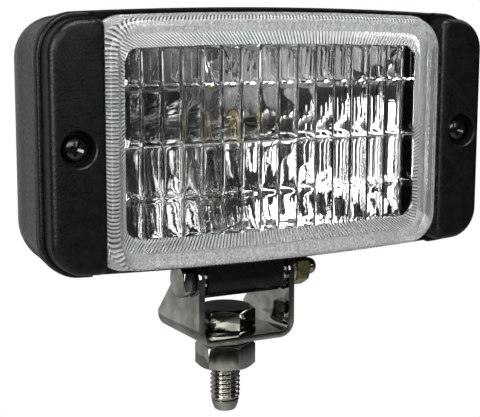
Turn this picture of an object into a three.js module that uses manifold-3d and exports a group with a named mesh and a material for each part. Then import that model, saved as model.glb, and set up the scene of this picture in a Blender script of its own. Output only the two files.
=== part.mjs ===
// Rectangular halogen fog light on a swivelling U-bracket.
// Millimetres, +Z up, lens facing -Y. The origin is on the mounting bolt's axis, at the bracket's underside.
import * as THREE from 'three';
import { mergeVertices } from 'three/addons/utils/BufferGeometryUtils.js';
import Module from 'manifold-3d';

// ---- Driving dimensions ----
const GAP = 0.3; // clearance between neighbouring pieces

// Lamp head
const HEAD_HALF_W = 72.8;
const HEAD_HALF_H = 37.8;
const HEAD_CROWN = 2.1; // how far the top and bottom edges fall from the middle to the ends
const HEAD_CORNER = 11.6;
const HEAD_Z = 66; // height of the head's centre line
const FACE_Y = -38; // front plane of the end caps and of the lens
const FRAME_FRONT_Y = -28; // front rim of the rear housing
const FRAME_BACK_Y = -16; // where the straight sides end and the bowl begins
const HOUSING_BACK_Y = 26;
const HOUSING_DRAFT = 1; // how far the sides lean in over the frame's depth
const BOWL_HALF_W = 29; // half width and height that the bowl's ellipse stands on
const BOWL_HALF_H = 12;
const BOWL_TURN = 1.33; // angle of the ellipse's arc, in radians
const FRAME_SHARE = 0.2; // share of the housing's rings that lie on the straight sides
const WALL = 2.4;

// End caps and their screws
const CAP_INNER_X = 55.6;
const PAD_OUTER_X = 71.6;
const PAD_HALF_H = 36;
const PAD_CORNER = 9.5;
const PAD_INNER_CORNER = 2.6;
const PAD_ROUND = 1.7;
const LEDGE_Y = -31;
const SCREW_X = 64;
const COUNTERBORE_R = 5;
const COUNTERBORE_FLOOR_Y = -33.8;
const SCREW_HEAD_R = 3.7;
const SCREW_HEAD_H = 2.5;
const SCREW_SHANK_R = 1.7;
const SCREW_TIP_Y = -17;
const BOSS_R = 4.2;

// Lens, gasket and reflector
const LENS_HALF_W = 55.2;
const LENS_HALF_H = 35.6;
const LENS_CORNER = 9.5;
const LENS_ROUND = 2.6;
const LENS_WALL = 2.8;
const FLANGE_HALF_W = 57.6;
const FLANGE_HALF_H = 36.4;
const FLANGE_CORNER = 9.5;
const FLANGE_T = 1.8;
const GASKET_T = 0.8;
const GASKET_WIDTH = 1.5;
const MIRROR_HALF_W = 51.2;
const MIRROR_HALF_H = 32;
const MIRROR_WALL = 1.6;
const MIRROR_FOCUS = 21;
const MIRROR_VERTEX_Y = 4;
const NECK_R = 10;
const NECK_BORE_R = 6.5;
const NECK_BACK_Y = 9;

// Bulb
const GLASS_R = 4.8;
const GLASS_WALL = 0.9;
const GLASS_TIP_Y = -22;
const GLASS_BACK_Y = 3.6;
const FILAMENT_R = 0.65;
const FILAMENT_HALF_L = 2.6;
const SUPPORT_R = 0.35;
const BULB_BODY_R = 5.9;
const BULB_FLANGE_R = 9;
const BULB_FLANGE_T = 1.2;
const BULB_TAIL_R = 4;
const BULB_TAIL_Y = 14;
const CLIP_WIRE_R = 0.6;
const CLIP_BEND_R = 7;
const LEAD_R = 1.1;
const GROMMET_DROP = 10; // how far the cable inlet lies under the bulb's axis
const GROMMET_FLANGE_R = 6.5;
const GROMMET_NECK_R = 4.2;
const GROMMET_BORE_R = 3.1;

// Bracket, pivot and mounting bolt
const BRACKET_HALF_W = 17;
const BRACKET_T = 2;
const BRACKET_HALF_D = 15;
const BEND_OUTER_R = 5;
const PIVOT_Y = -8.1;
const PIVOT_Z = 20.7;
const EAR_R = BRACKET_HALF_D + PIVOT_Y; // the round top meets the straight front edge
const EAR_REAR_Z = 6; // height where the rear edge starts to slope
const LUG_R = 6.5;
const LUG_HALF_W = 13.4;
const TOOTH_WASHER_R = 5.8;
const SLEEVE_R = 4;
const M6_R = 2.95;
const M6_FLATS = 10;
const M6_HEAD_H = 4;
const M6_NUT_H = 5;
const M6_END_X = 28.2;
const M6_LOCK_T = 1.5;
const M10_R = 4.9;
const M10_FLATS = 17;
const M10_HEAD_H = 6.4;
const M10_NUT_H = 8.4;
const M10_LOCK_T = 2.2;
const M10_LOCK_R = 8.4;
const M10_TIP_Z = -26;

const ARC_STEPS = 5; // segments in each rounded corner
const HOUSING_STEPS = 10; // rings along the housing's depth
const ROUND = 28; // sides of a large cylinder
const SMALL_ROUND = 20; // sides of a small one
const THROUGH = 200; // longer than any piece, for cuts that pass right through

// ---- Solids ----
const wasm = await Module();
wasm.setup();

function solid(geometry) {
  const bare = geometry.clone();
  bare.deleteAttribute('normal');
  bare.deleteAttribute('uv');
  const merged = mergeVertices(bare, 1e-4);
  const vertProperties = Float32Array.from(merged.attributes.position.array);
  const triVerts = Uint32Array.from(merged.index.array);
  return new wasm.Manifold(new wasm.Mesh({ numProp: 3, vertProperties, triVerts }));
}

function geometryOf(manifold) {
  const { vertProperties, triVerts } = manifold.getMesh();
  const geometry = new THREE.BufferGeometry();
  geometry.setAttribute('position', new THREE.BufferAttribute(new Float32Array(vertProperties), 3));
  geometry.setIndex(new THREE.BufferAttribute(new Uint32Array(triVerts), 1));
  geometry.computeVertexNormals();
  return geometry;
}

// A rectangle from x0 to x1, with its own corner radius on the left and on the right. Its top and
// bottom edges follow the head's crown, a parabola that falls towards both ends.
function cornered(x0, x1, halfH, leftR, rightR) {
  const edge = (x) => halfH - HEAD_CROWN * (x / HEAD_HALF_W) ** 2;
  const slope = (x) => -2 * HEAD_CROWN * x / HEAD_HALF_W ** 2;
  const left = x0 + leftR;
  const right = x1 - rightR;
  const middle = (left + right) / 2;
  const control = edge(left) + slope(left) * (middle - left);
  const shape = new THREE.Shape();
  shape.moveTo(left, -edge(left));
  shape.quadraticCurveTo(middle, -control, right, -edge(right));
  shape.absarc(right, rightR - edge(right), rightR, -Math.PI / 2, 0);
  shape.lineTo(x1, edge(right) - rightR);
  shape.absarc(right, edge(right) - rightR, rightR, 0, Math.PI / 2);
  shape.quadraticCurveTo(middle, control, left, edge(left));
  shape.absarc(left, edge(left) - leftR, leftR, Math.PI / 2, Math.PI);
  shape.lineTo(x0, leftR - edge(left));
  shape.absarc(left, leftR - edge(left), leftR, Math.PI, 1.5 * Math.PI);
  return shape;
}

const roundedRect = (halfW, halfH, r) => cornered(-halfW, halfW, halfH, r, r);

// The same outline on the lamp's left (side -1) or right (side 1), from the inner to the outer edge.
function sideOutline(side, inner, outer, halfH, innerR, outerR) {
  return side > 0
    ? cornered(inner, outer, halfH, innerR, outerR)
    : cornered(-outer, -inner, halfH, outerR, innerR);
}

// Extrudes an outline drawn in X and Z between two Y planes, about the head's centre line.
function slabGeometry(shape, back, front, bevel = 0, steps = 1) {
  const geometry = new THREE.ExtrudeGeometry(shape, {
    depth: back - front - 2 * bevel,
    steps,
    bevelEnabled: bevel > 0,
    bevelThickness: bevel,
    bevelSize: bevel,
    bevelOffset: -bevel,
    bevelSegments: 3,
    curveSegments: ARC_STEPS,
  });
  geometry.rotateX(Math.PI / 2);
  geometry.translate(0, back - bevel, HEAD_Z);
  return geometry;
}

const slab = (shape, back, front, bevel) => solid(slabGeometry(shape, back, front, bevel));

function box(x0, x1, y0, y1, z0, z1) {
  const geometry = new THREE.BoxGeometry(x1 - x0, y1 - y0, z1 - z0);
  geometry.translate((x0 + x1) / 2, (y0 + y1) / 2, (z0 + z1) / 2);
  return solid(geometry);
}

// A turned piece. Profile points are [radius, distance along the axis], and the axis is 'x', 'y' or 'z'.
function turned(profile, axis, x, y, z, sides = ROUND) {
  const points = profile.map(([r, along]) => new THREE.Vector2(r, along));
  if (THREE.ShapeUtils.area(points) < 0) points.reverse(); // so that the faces point outwards
  const geometry = new THREE.LatheGeometry(points, sides);
  if (axis === 'x') geometry.rotateZ(-Math.PI / 2);
  if (axis === 'z') geometry.rotateX(Math.PI / 2);
  geometry.translate(x, y, z);
  return solid(geometry);
}

const rod = (r, from, to) => [[0, from], [r, from], [r, to], [0, to]];
const ring = (inner, outer, from, to) => [
  [inner, from], [outer, from], [outer, to], [inner, to], [inner, from],
];

// A hexagon prism along an axis, with its corners chamfered at one or both ends.
function hexagon(flats, from, to, axis, x, y, z, bothEnds) {
  const cornerR = flats / Math.sqrt(3);
  const chamferR = 0.94 * flats / 2;
  const slope = (cornerR - chamferR) * Math.tan(Math.PI / 6);
  const prism = turned(rod(cornerR, from, to), axis, x, y, z, 6);
  const limitR = cornerR + 1e-3;
  const nearEnd = bothEnds ? [[chamferR, from], [limitR, from + slope]] : [[limitR, from]];
  const limit = [[0, from], ...nearEnd, [limitR, to - slope], [chamferR, to], [0, to]];
  return prism.intersect(turned(limit, axis, x, y, z));
}

// A round wire along a smooth curve.
function wire(points, r, steps) {
  const section = new THREE.Shape();
  section.absarc(0, 0, r, 0, 2 * Math.PI);
  const extrudePath = new THREE.CatmullRomCurve3(points.map(([x, y, z]) => new THREE.Vector3(x, y, z)));
  const options = { steps, extrudePath, bevelEnabled: false, curveSegments: 4 };
  return solid(new THREE.ExtrudeGeometry(section, options));
}

// ---- Lamp head ----

// Straight leaning sides as far as the frame's back, then an elliptical bowl to the flat rear plate.
function housingBlock(inset) {
  const front = inset > 0 ? FRAME_FRONT_Y - 1 : FRAME_FRONT_Y;
  const back = HOUSING_BACK_Y - inset;
  const outline = roundedRect(HEAD_HALF_W, HEAD_HALF_H, HEAD_CORNER);
  const geometry = slabGeometry(outline, back, front, 0, HOUSING_STEPS);
  const position = geometry.attributes.position;
  for (let i = 0; i < position.count; i += 1) {
    const along = (position.getY(i) - front) / (back - front);
    const onFrame = Math.min(along / FRAME_SHARE, 1);
    const turn = BOWL_TURN * Math.max((along - FRAME_SHARE) / (1 - FRAME_SHARE), 0);
    const frameY = THREE.MathUtils.lerp(front, FRAME_BACK_Y, onFrame);
    const y = frameY + (back - FRAME_BACK_Y) * Math.sin(turn) / Math.sin(BOWL_TURN);
    const lean = HOUSING_DRAFT * onFrame;
    const halfW = THREE.MathUtils.lerp(BOWL_HALF_W, HEAD_HALF_W - lean, Math.cos(turn)) - inset;
    const halfH = THREE.MathUtils.lerp(BOWL_HALF_H, HEAD_HALF_H - lean, Math.cos(turn)) - inset;
    const x = position.getX(i) * halfW / HEAD_HALF_W;
    const z = HEAD_Z + (position.getZ(i) - HEAD_Z) * halfH / HEAD_HALF_H;
    position.setXYZ(i, x, y, z);
  }
  return solid(geometry);
}

function rearHousing() {
  const outer = housingBlock(0);
  let housing = outer.subtract(housingBlock(WALL));
  for (const side of [-1, 1]) {
    const inner = FLANGE_HALF_W + GAP;
    const platform = slab(sideOutline(side, inner, HEAD_HALF_W, HEAD_HALF_H, 1, HEAD_CORNER),
      FRAME_FRONT_Y + WALL, FRAME_FRONT_Y).intersect(outer);
    const boss = turned(rod(BOSS_R, FRAME_FRONT_Y, SCREW_TIP_Y + WALL), 'y', side * SCREW_X, 0, HEAD_Z);
    const bore = rod(SCREW_SHANK_R + GAP, FRAME_FRONT_Y - 1, SCREW_TIP_Y + GAP);
    const pilot = turned(bore, 'y', side * SCREW_X, 0, HEAD_Z, SMALL_ROUND);
    housing = housing.add(platform).add(boss).subtract(pilot);
  }
  const inlet = turned(rod(GROMMET_NECK_R + GAP, 0, HOUSING_BACK_Y + 1), 'y', 0, 0, HEAD_Z - GROMMET_DROP);
  return housing.add(pivotLug()).subtract(inlet);
}

// The lug under the head: a block rounded about the pivot, bored for the spacer sleeve.
function pivotLug() {
  const top = HEAD_Z - MIRROR_HALF_H - MIRROR_WALL - 2 * GAP; // inside the wall, clear of the reflector
  const shape = new THREE.Shape();
  shape.moveTo(PIVOT_Y + LUG_R, top);
  shape.lineTo(PIVOT_Y - LUG_R, top);
  shape.absarc(PIVOT_Y, PIVOT_Z, LUG_R, Math.PI, 2 * Math.PI);
  const options = { depth: 2 * LUG_HALF_W, bevelEnabled: false, curveSegments: 12 };
  const geometry = new THREE.ExtrudeGeometry(shape, options);
  geometry.rotateY(Math.PI / 2);
  geometry.rotateX(Math.PI / 2);
  geometry.translate(-LUG_HALF_W, 0, 0);
  return solid(geometry).subtract(turned(rod(SLEEVE_R + GAP, -THROUGH, THROUGH), 'x', 0, PIVOT_Y, PIVOT_Z));
}

// A raised pad on a wider ledge, with the screw's counterbore and a rebate over the lens flange.
function endCap(side) {
  const back = FRAME_FRONT_Y - GAP;
  const ledgeRise = back - LEDGE_Y;
  const pad = slab(sideOutline(side, CAP_INNER_X, PAD_OUTER_X, PAD_HALF_H, PAD_INNER_CORNER, PAD_CORNER),
    back + 2 * PAD_ROUND, FACE_Y, PAD_ROUND);
  const ledge = slab(sideOutline(side, CAP_INNER_X + 1, HEAD_HALF_W, HEAD_HALF_H, 3, HEAD_CORNER),
    back + ledgeRise, LEDGE_Y, ledgeRise * 0.9);
  const behind = box(-THROUGH, THROUGH, back, THROUGH, -THROUGH, THROUGH);
  const rebate = side * (FLANGE_HALF_W + GAP);
  const [rebateLeft, rebateRight] = side > 0 ? [0, rebate] : [rebate, 0];
  const overFlange = box(rebateLeft, rebateRight, flangeFrontY() - GAP, 0, -THROUGH, THROUGH);
  const well = rod(COUNTERBORE_R, FACE_Y - 1, COUNTERBORE_FLOOR_Y);
  const counterbore = turned(well, 'y', side * SCREW_X, 0, HEAD_Z);
  const hole = turned(rod(SCREW_SHANK_R + GAP, FACE_Y, 0), 'y', side * SCREW_X, 0, HEAD_Z, SMALL_ROUND);
  return pad.add(ledge).subtract(behind).subtract(overFlange).subtract(counterbore).subtract(hole);
}

// A pan-head screw with a cross recess.
function capScrew(side) {
  const seat = COUNTERBORE_FLOOR_Y - GAP;
  const top = seat - SCREW_HEAD_H;
  const profile = [
    [0, top], [SCREW_HEAD_R * 0.45, top + 0.15], [SCREW_HEAD_R * 0.8, top + 0.7],
    [SCREW_HEAD_R, top + 1.6], [SCREW_HEAD_R, seat], [SCREW_SHANK_R, seat],
    [SCREW_SHANK_R, SCREW_TIP_Y - 2], [0.5, SCREW_TIP_Y], [0, SCREW_TIP_Y],
  ];
  const x = side * SCREW_X;
  const recess = { arm: 1.9, halfWidth: 0.45, depth: 1.5 };
  const slot = (halfW, halfH) => box(x - halfW, x + halfW, top - 1, top + recess.depth,
    HEAD_Z - halfH, HEAD_Z + halfH);
  const across = slot(recess.arm, recess.halfWidth);
  const upright = slot(recess.halfWidth, recess.arm);
  return turned(profile, 'y', x, 0, HEAD_Z, 24).subtract(across).subtract(upright);
}

const flangeBackY = () => FRAME_FRONT_Y - GAP - GASKET_T - GAP;
const flangeFrontY = () => flangeBackY() - FLANGE_T;

// A shallow dish of clear glass, open to the back, with a flange all round.
function lens() {
  const flangeOutline = roundedRect(FLANGE_HALF_W, FLANGE_HALF_H, FLANGE_CORNER);
  const flange = slab(flangeOutline, flangeBackY(), flangeFrontY());
  const dishOutline = roundedRect(LENS_HALF_W, LENS_HALF_H, LENS_CORNER);
  const dish = slab(dishOutline, flangeBackY() + LENS_ROUND, FACE_Y, LENS_ROUND);
  const hollow = slab(roundedRect(LENS_HALF_W - LENS_WALL, LENS_HALF_H - LENS_WALL, LENS_CORNER - LENS_WALL),
    0, FACE_Y + LENS_WALL);
  const behind = box(-THROUGH, THROUGH, flangeBackY(), THROUGH, -THROUGH, THROUGH);
  return flange.add(dish.subtract(behind)).subtract(hollow);
}

function lensGasket() {
  const band = (inset, extra) => slab(
    roundedRect(FLANGE_HALF_W - inset, FLANGE_HALF_H - inset, FLANGE_CORNER - inset),
    FRAME_FRONT_Y - GAP + extra, FRAME_FRONT_Y - GAP - GASKET_T - extra);
  return band(GAP, 0).subtract(band(GAP + GASKET_WIDTH, 1));
}

// A paraboloid of revolution, its surface moved back by `behind`.
function paraboloid(behind) {
  const vertex = MIRROR_VERTEX_Y + behind;
  const rings = 8;
  const profile = [];
  for (let i = 0; i <= rings; i += 1) {
    const r = (MIRROR_HALF_W + 12) * i / rings;
    profile.push([r, vertex - r * r / (4 * MIRROR_FOCUS)]);
  }
  const [rimR] = profile[rings];
  profile.push([rimR, -THROUGH], [0, -THROUGH]);
  return turned(profile, 'y', 0, 0, HEAD_Z, 36);
}

// A metallised bowl: the paraboloid cut by flat top and bottom walls, with a front flange and a bulb neck.
function reflector() {
  const front = FRAME_FRONT_Y + GAP;
  const outline = (inset) => roundedRect(MIRROR_HALF_W - inset, MIRROR_HALF_H - inset, 6);
  const cut = (inset) => slab(outline(inset), HOUSING_BACK_Y, front - 1);
  const hollow = paraboloid(0).intersect(cut(0));
  const body = paraboloid(MIRROR_WALL).intersect(cut(-MIRROR_WALL));
  const ahead = box(-THROUGH, THROUGH, -THROUGH, front, -THROUGH, THROUGH);
  const flange = slab(roundedRect(MIRROR_HALF_W + 2.4, MIRROR_HALF_H + 2.2, 7), front + MIRROR_WALL, front);
  const neck = turned(rod(NECK_R, MIRROR_VERTEX_Y - 2, NECK_BACK_Y), 'y', 0, 0, HEAD_Z);
  const bore = turned(rod(NECK_BORE_R, -THROUGH, THROUGH), 'y', 0, 0, HEAD_Z);
  return body.add(flange).add(neck).subtract(hollow).subtract(ahead).subtract(bore);
}

function bulbGlass() {
  const inner = GLASS_R - GLASS_WALL;
  const dome = 4;
  const profile = [];
  const arc = (r, y) => {
    for (let i = 0; i <= dome; i += 1) {
      const angle = (Math.PI / 2) * (i / dome);
      profile.push([r * Math.sin(angle), y + r - r * Math.cos(angle)]);
    }
  };
  arc(GLASS_R, GLASS_TIP_Y);
  const outerCount = profile.length;
  arc(inner, GLASS_TIP_Y + GLASS_WALL);
  const outerArc = profile.slice(0, outerCount);
  const innerArc = profile.slice(outerCount).reverse();
  const open = [[GLASS_R, GLASS_BACK_Y], [inner, GLASS_BACK_Y]];
  return turned([...outerArc, ...open, ...innerArc], 'y', 0, 0, HEAD_Z, 24);
}

// A transverse coil on two supports, standing at the reflector's focus.
function bulbFilament() {
  const focus = MIRROR_VERTEX_Y - MIRROR_FOCUS;
  let filament = turned(rod(FILAMENT_R, -FILAMENT_HALF_L, FILAMENT_HALF_L), 'x', 0, focus, HEAD_Z, 12);
  for (const side of [-1, 1]) {
    const x = side * (FILAMENT_HALF_L - SUPPORT_R);
    filament = filament.add(turned(rod(SUPPORT_R, focus, GLASS_BACK_Y), 'y', x, 0, HEAD_Z, 8));
  }
  return filament;
}

function bulbBase() {
  const front = GLASS_BACK_Y + GAP;
  const seat = NECK_BACK_Y + GAP;
  const profile = [
    [0, front], [BULB_BODY_R, front], [BULB_BODY_R, seat], [BULB_FLANGE_R, seat],
    [BULB_FLANGE_R, seat + BULB_FLANGE_T], [BULB_TAIL_R, seat + BULB_FLANGE_T],
    [BULB_TAIL_R, BULB_TAIL_Y], [0, BULB_TAIL_Y],
  ];
  return turned(profile, 'y', 0, 0, HEAD_Z);
}

// A spring wire that hooks round the bulb's tail and presses on its flange.
function bulbClip() {
  const y = NECK_BACK_Y + GAP + BULB_FLANGE_T + GAP + CLIP_WIRE_R;
  const points = [[-CLIP_BEND_R - 6, y, HEAD_Z - CLIP_BEND_R]];
  const bends = 8;
  for (let i = 0; i <= bends; i += 1) {
    const angle = Math.PI * (1 - i / bends);
    points.push([CLIP_BEND_R * Math.cos(angle), y, HEAD_Z + CLIP_BEND_R * Math.sin(angle)]);
  }
  points.push([CLIP_BEND_R + 6, y, HEAD_Z - CLIP_BEND_R]);
  return wire(points, CLIP_WIRE_R, 24);
}

// The bulb's single feed wire, from its tail down to the cable inlet.
function bulbLead() {
  const end = HOUSING_BACK_Y - WALL - 3;
  return wire([
    [0, BULB_TAIL_Y + GAP, HEAD_Z],
    [0, BULB_TAIL_Y + 3, HEAD_Z - 1],
    [0, end - 3, HEAD_Z - GROMMET_DROP / 2],
    [0, end - 3, HEAD_Z - GROMMET_DROP + 1],
    [0, end, HEAD_Z - GROMMET_DROP],
  ], LEAD_R, 14);
}

// A rubber inlet bush, grooved for the wall, with a through bore for the cable.
function cableGrommet() {
  const inside = HOUSING_BACK_Y - WALL;
  const outside = HOUSING_BACK_Y + GAP;
  const end = HOUSING_BACK_Y + 6;
  const lip = [[GROMMET_NECK_R + 0.9, inside - 1.6], [GROMMET_NECK_R + 1.1, inside - GAP]];
  const groove = [[GROMMET_NECK_R, inside - GAP], [GROMMET_NECK_R, outside]];
  const flange = [[GROMMET_FLANGE_R, outside], [GROMMET_FLANGE_R, HOUSING_BACK_Y + 1.8]];
  const sleeve = [[GROMMET_NECK_R, HOUSING_BACK_Y + 3], [GROMMET_NECK_R - 0.3, end]];
  const bore = [[GROMMET_BORE_R, end], [GROMMET_BORE_R, inside - 2]];
  const profile = [[GROMMET_BORE_R, inside - 2], ...lip, ...groove, ...flange, ...sleeve, ...bore];
  return turned(profile, 'y', 0, 0, HEAD_Z - GROMMET_DROP, 24);
}

const pivotSleeve = () => {
  const tube = ring(M6_R + GAP, SLEEVE_R, -LUG_HALF_W, LUG_HALF_W);
  return turned(tube, 'x', 0, PIVOT_Y, PIVOT_Z, 24);
};

// A washer with teeth round its rim, between the lug and an ear.
function toothWasher(side) {
  const from = Math.min(side * (LUG_HALF_W + GAP), side * (BRACKET_HALF_W - BRACKET_T - GAP));
  const to = Math.max(side * (LUG_HALF_W + GAP), side * (BRACKET_HALF_W - BRACKET_T - GAP));
  const teeth = 14;
  let washer = turned(ring(M6_R + GAP, TOOTH_WASHER_R - 0.9, from, to), 'x', 0, PIVOT_Y, PIVOT_Z, 28);
  for (let i = 0; i < teeth; i += 1) {
    const tooth = new THREE.BoxGeometry(to - from, 1, 2);
    tooth.translate((from + to) / 2, 0, TOOTH_WASHER_R - 1);
    tooth.rotateX((2 * Math.PI * i) / teeth);
    tooth.translate(0, PIVOT_Y, PIVOT_Z);
    washer = washer.add(solid(tooth));
  }
  return washer;
}

// ---- Bracket ----

// Bent strip seen from the front, cut to the ears' side outline.
function uBracket() {
  const top = PIVOT_Z + EAR_R + 1;
  const inner = BRACKET_HALF_W - BRACKET_T;
  const innerR = BEND_OUTER_R - BRACKET_T;
  const strip = new THREE.Shape();
  strip.moveTo(-BRACKET_HALF_W, top);
  strip.lineTo(-BRACKET_HALF_W, BEND_OUTER_R);
  strip.absarc(-BRACKET_HALF_W + BEND_OUTER_R, BEND_OUTER_R, BEND_OUTER_R, Math.PI, 1.5 * Math.PI);
  strip.lineTo(BRACKET_HALF_W - BEND_OUTER_R, 0);
  strip.absarc(BRACKET_HALF_W - BEND_OUTER_R, BEND_OUTER_R, BEND_OUTER_R, 1.5 * Math.PI, 2 * Math.PI);
  strip.lineTo(BRACKET_HALF_W, top);
  strip.lineTo(inner, top);
  strip.lineTo(inner, BEND_OUTER_R);
  strip.absarc(inner - innerR, BEND_OUTER_R, innerR, 0, -Math.PI / 2, true);
  strip.lineTo(-inner + innerR, BRACKET_T);
  strip.absarc(-inner + innerR, BEND_OUTER_R, innerR, -Math.PI / 2, -Math.PI, true);
  const stripOptions = { depth: 2 * BRACKET_HALF_D, bevelEnabled: false, curveSegments: 8 };
  const bent = new THREE.ExtrudeGeometry(strip, stripOptions);
  bent.rotateX(Math.PI / 2);
  bent.translate(0, BRACKET_HALF_D, 0);

  // From the straight front edge over the round top, then along the tangent to the sloping rear edge.
  const toRear = new THREE.Vector2(BRACKET_HALF_D - PIVOT_Y, EAR_REAR_Z - PIVOT_Z);
  const tangent = toRear.angle() - 2 * Math.PI + Math.acos(EAR_R / toRear.length());
  const ear = new THREE.Shape();
  ear.moveTo(-BRACKET_HALF_D, -1);
  ear.lineTo(BRACKET_HALF_D, -1);
  ear.lineTo(BRACKET_HALF_D, EAR_REAR_Z);
  ear.absarc(PIVOT_Y, PIVOT_Z, EAR_R, tangent, Math.PI);
  const earOptions = { depth: 2 * BRACKET_HALF_W + 2, bevelEnabled: false, curveSegments: 12 };
  const side = new THREE.ExtrudeGeometry(ear, earOptions);
  side.rotateY(Math.PI / 2);
  side.rotateX(Math.PI / 2);
  side.translate(-BRACKET_HALF_W - 1, 0, 0);

  const pivotHole = turned(rod(M6_R + GAP, -THROUGH, THROUGH), 'x', 0, PIVOT_Y, PIVOT_Z, 24);
  const boltHole = turned(rod(M10_R + GAP, -THROUGH, THROUGH), 'z', 0, 0, 0);
  return solid(bent).intersect(solid(side)).subtract(pivotHole).subtract(boltHole);
}

function pivotBolt() {
  const seat = -(BRACKET_HALF_W + GAP);
  const head = hexagon(M6_FLATS, -seat, -seat + M6_HEAD_H, 'x', 0, 0, 0, false)
    .rotate([0, 180, 0])
    .translate([0, PIVOT_Y, PIVOT_Z]);
  const chamfer = [[M6_R, M6_END_X - 0.9], [M6_R - 0.8, M6_END_X], [0, M6_END_X]];
  const shank = [[0, seat - 1], [M6_R, seat - 1], ...chamfer];
  return head.add(turned(shank, 'x', 0, PIVOT_Y, PIVOT_Z, 24));
}

// A spring ring with a slanting split.
function lockWasher(inner, outer, from, to, axis, x, y, z) {
  const split = new THREE.BoxGeometry(0.8, outer + 2, THROUGH);
  split.translate(0, (outer + 2) / 2, 0);
  split.rotateY(0.35);
  if (axis === 'x') split.rotateY(Math.PI / 2);
  split.rotateZ(axis === 'x' ? 0 : 2.2);
  split.translate(x, y, z);
  return turned(ring(inner, outer, from, to), axis, x, y, z).subtract(solid(split));
}

const pivotLockWasher = () => {
  const from = BRACKET_HALF_W + GAP;
  return lockWasher(M6_R + GAP, 5.3, from, from + M6_LOCK_T, 'x', 0, PIVOT_Y, PIVOT_Z);
};

function pivotNut() {
  const from = BRACKET_HALF_W + GAP + M6_LOCK_T + GAP;
  const bore = turned(rod(M6_R + GAP, -THROUGH, THROUGH), 'x', 0, PIVOT_Y, PIVOT_Z, 24);
  return hexagon(M6_FLATS, from, from + M6_NUT_H, 'x', 0, PIVOT_Y, PIVOT_Z, true).subtract(bore);
}

// ---- Mounting bolt, which stays with the vehicle ----

function mountingBolt() {
  const seat = BRACKET_T + GAP;
  const head = hexagon(M10_FLATS, seat, seat + M10_HEAD_H, 'z', 0, 0, 0, false);
  const tip = [[M10_R - 1.5, M10_TIP_Z], [M10_R - 0.6, M10_TIP_Z + 1.6], [M10_R, M10_TIP_Z + 3]];
  const shank = [[0, M10_TIP_Z], ...tip, [M10_R, seat + 1], [0, seat + 1]];
  return head.add(turned(shank, 'z', 0, 0, 0));
}

const mountingLockWasher = () => lockWasher(M10_R + GAP, M10_LOCK_R, -GAP - M10_LOCK_T, -GAP, 'z', 0, 0, 0);

function mountingNut() {
  const top = -GAP - M10_LOCK_T - GAP;
  const bore = turned(rod(M10_R + GAP, -THROUGH, THROUGH), 'z', 0, 0, 0);
  return hexagon(M10_FLATS, top - M10_NUT_H, top, 'z', 0, 0, 0, true).subtract(bore);
}

// ---- Finishes ----
const finish = (color, roughness, metalness) => () => (
  new THREE.MeshStandardMaterial({ color, roughness, metalness })
);
const blackPlastic = finish(0x2b2d2d, 0.6, 0);
const blackSteel = finish(0x0d0d0d, 0.25, 0.3);
const rubber = finish(0x161616, 0.85, 0);
const clearGlass = finish(0xdfe6e8, 0.05, 0);
const mirror = finish(0xe8e8e8, 0.05, 1);
const stainless = finish(0x8c8a82, 0.22, 1);
const yellowZinc = finish(0x8a8340, 0.35, 1);
const brightSteel = finish(0xb8b8b4, 0.3, 1);
const copperLead = finish(0x1d1d20, 0.6, 0);

// ---- Assembly ----
const lamp = new THREE.Group();

function place(parent, name, shape, material) {
  const mesh = new THREE.Mesh(geometryOf(shape), material());
  mesh.name = name;
  parent.add(mesh);
}

const fixed = new THREE.Group();
place(fixed, 'mounting_bolt', mountingBolt(), stainless);
place(fixed, 'mounting_lock_washer', mountingLockWasher(), stainless);
place(fixed, 'mounting_nut', mountingNut(), stainless);

const bracket = new THREE.Group();
place(bracket, 'u_bracket', uBracket(), stainless);
place(bracket, 'pivot_bolt', pivotBolt(), stainless);
place(bracket, 'pivot_lock_washer', pivotLockWasher(), brightSteel);
place(bracket, 'pivot_nut', pivotNut(), yellowZinc);

const head = new THREE.Group();
place(head, 'rear_housing', rearHousing(), blackPlastic);
for (const [side, word] of [[-1, 'left'], [1, 'right']]) {
  place(head, `${word}_end_cap`, endCap(side), blackPlastic);
  place(head, `${word}_cap_screw`, capScrew(side), blackSteel);
  place(head, `${word}_tooth_washer`, toothWasher(side), brightSteel);
}
place(head, 'pivot_sleeve', pivotSleeve(), brightSteel);
place(head, 'lens', lens(), clearGlass);
place(head, 'lens_gasket', lensGasket(), rubber);
place(head, 'reflector', reflector(), mirror);
place(head, 'bulb_glass', bulbGlass(), clearGlass);
place(head, 'bulb_filament', bulbFilament(), brightSteel);
place(head, 'bulb_base', bulbBase(), brightSteel);
place(head, 'bulb_clip', bulbClip(), brightSteel);
place(head, 'bulb_lead', bulbLead(), copperLead);
place(head, 'cable_grommet', cableGrommet(), rubber);

lamp.add(fixed, bracket, head);
export default lamp;
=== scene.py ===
"""Rectangular halogen fog light on a swivelling U-bracket: the looks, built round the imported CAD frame."""
import math

import bmesh
import bpy
from mathutils import Matrix, Vector


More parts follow.
